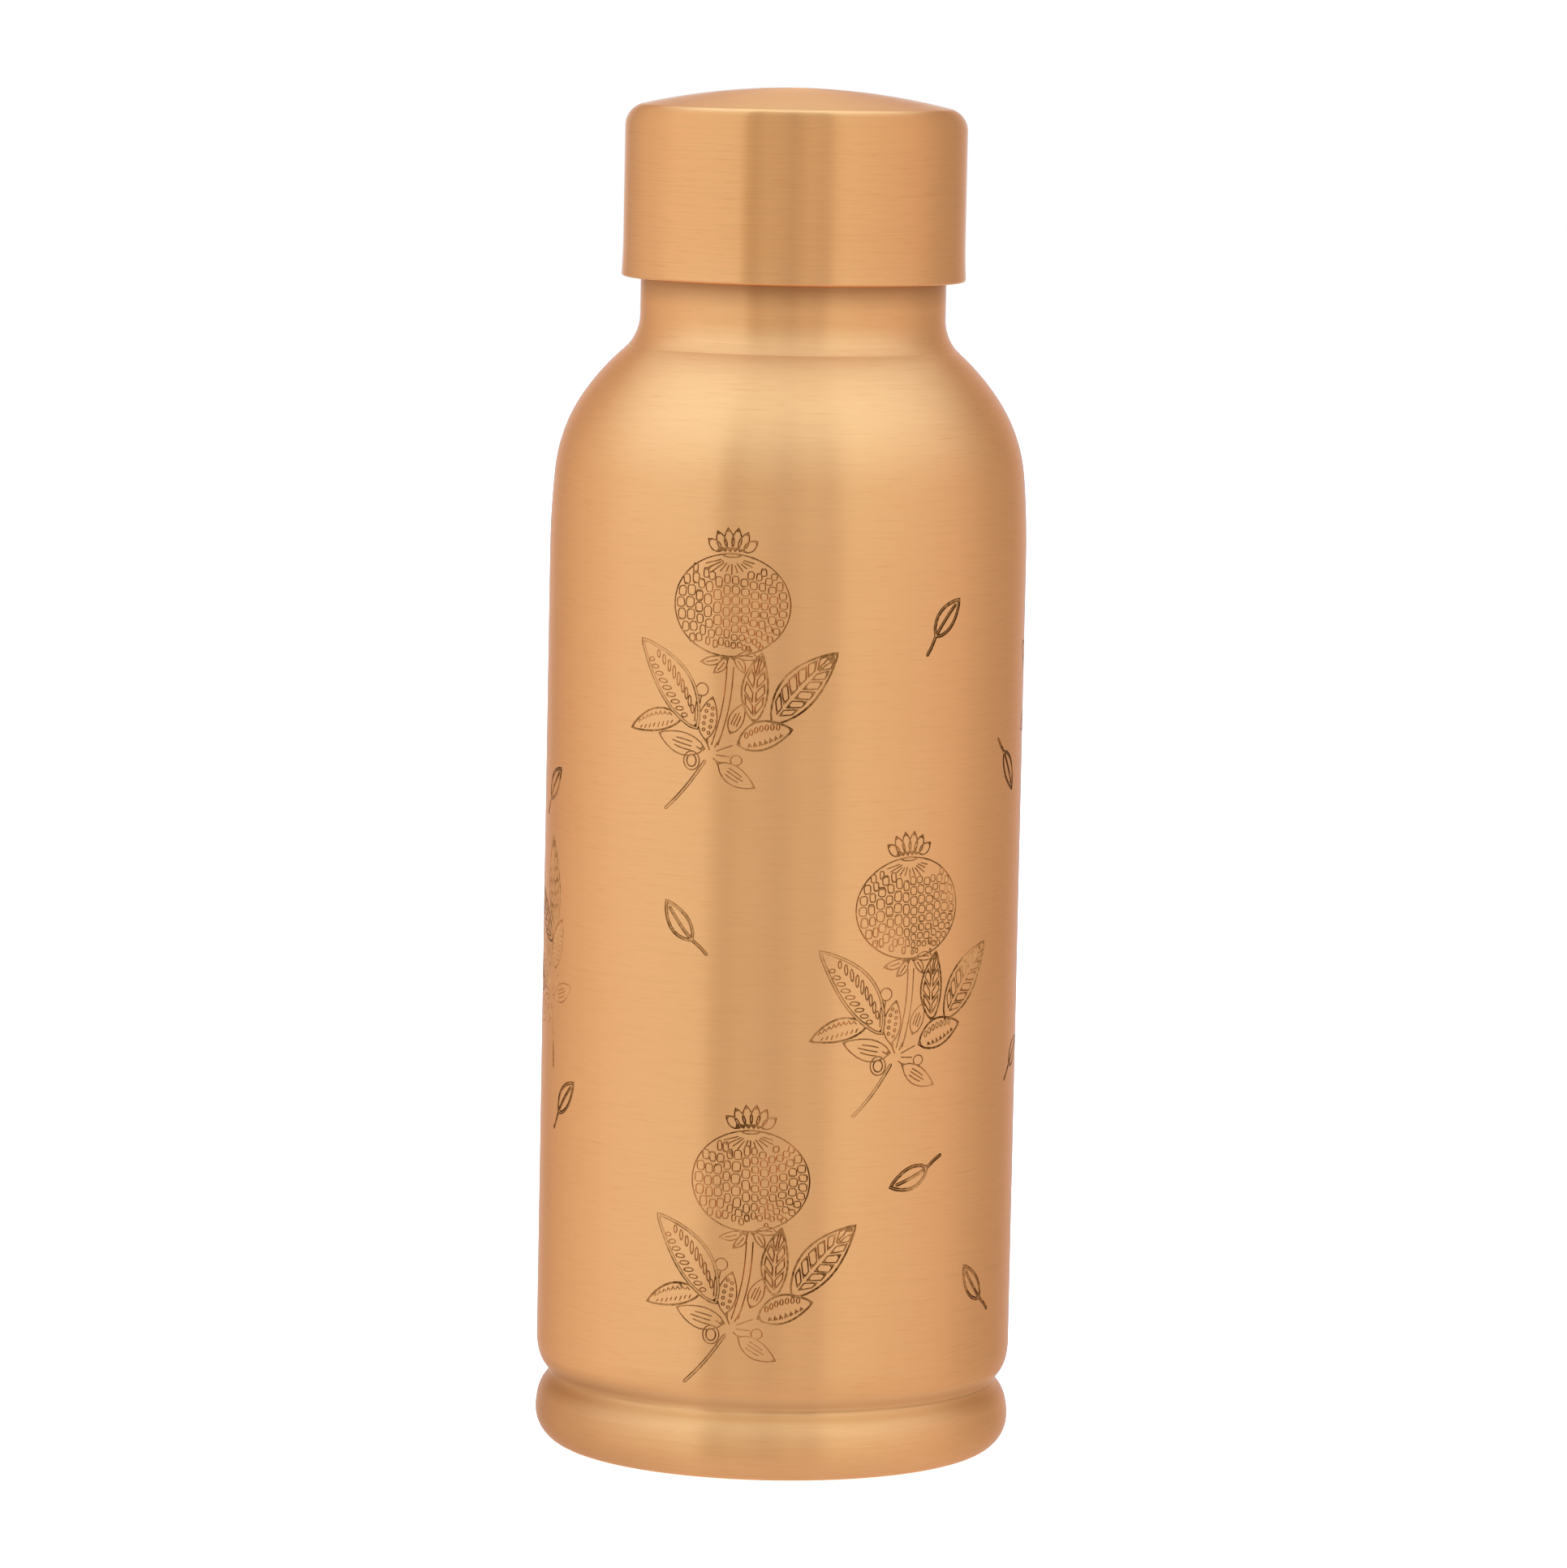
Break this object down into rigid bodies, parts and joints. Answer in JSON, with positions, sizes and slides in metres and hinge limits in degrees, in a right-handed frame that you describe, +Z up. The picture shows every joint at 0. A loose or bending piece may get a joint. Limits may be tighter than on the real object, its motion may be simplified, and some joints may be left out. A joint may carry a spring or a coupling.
{
  "type": "copper water bottle",
  "caption": "Cylindrical copper water bottle with a rounded shoulder, short neck, rolled groove above the foot, domed screw cap and engraved sprigs.",
  "frame": {"origin": "on the bottle's axis, in the plane that its standing ring rests on", "axes": "+Z up along the bottle's axis, towards the cap; -Y towards the viewer of the picture"},
  "size_m": [0.072, 0.072, 0.2062],
  "materials": {
    "copper": "brushed round the axis, lacquered, pinkish light copper",
    "plain_copper": "unpolished copper, slightly dull",
    "silicone": "milky white silicone, matt"
  },
  "bodies": {
    "bottle": {"body_shell": "copper", "base_disc": "plain_copper", "neck_thread_ring": "plain_copper"},
    "seal": {"sealing_gasket": "silicone"},
    "cap": {"cap_shell": "copper", "cap_thread_liner": "plain_copper"}
  },
  "joints": [
    {"name": "cap_lift", "type": "slide", "parent": "bottle", "child": "seal", "axis": [0, 0, 1], "range_m": [0, 0.028]},
    {"name": "cap_turn", "type": "hinge", "parent": "seal", "child": "cap", "pos_m": [0, 0, 0.1776], "axis": [0, 0, 1], "range_deg": [0, 2520]}
  ],
  "couplings": [
    {"joint": "cap_lift", "follows": "cap_turn", "m_per_rad": 0.0006366}
  ]
}
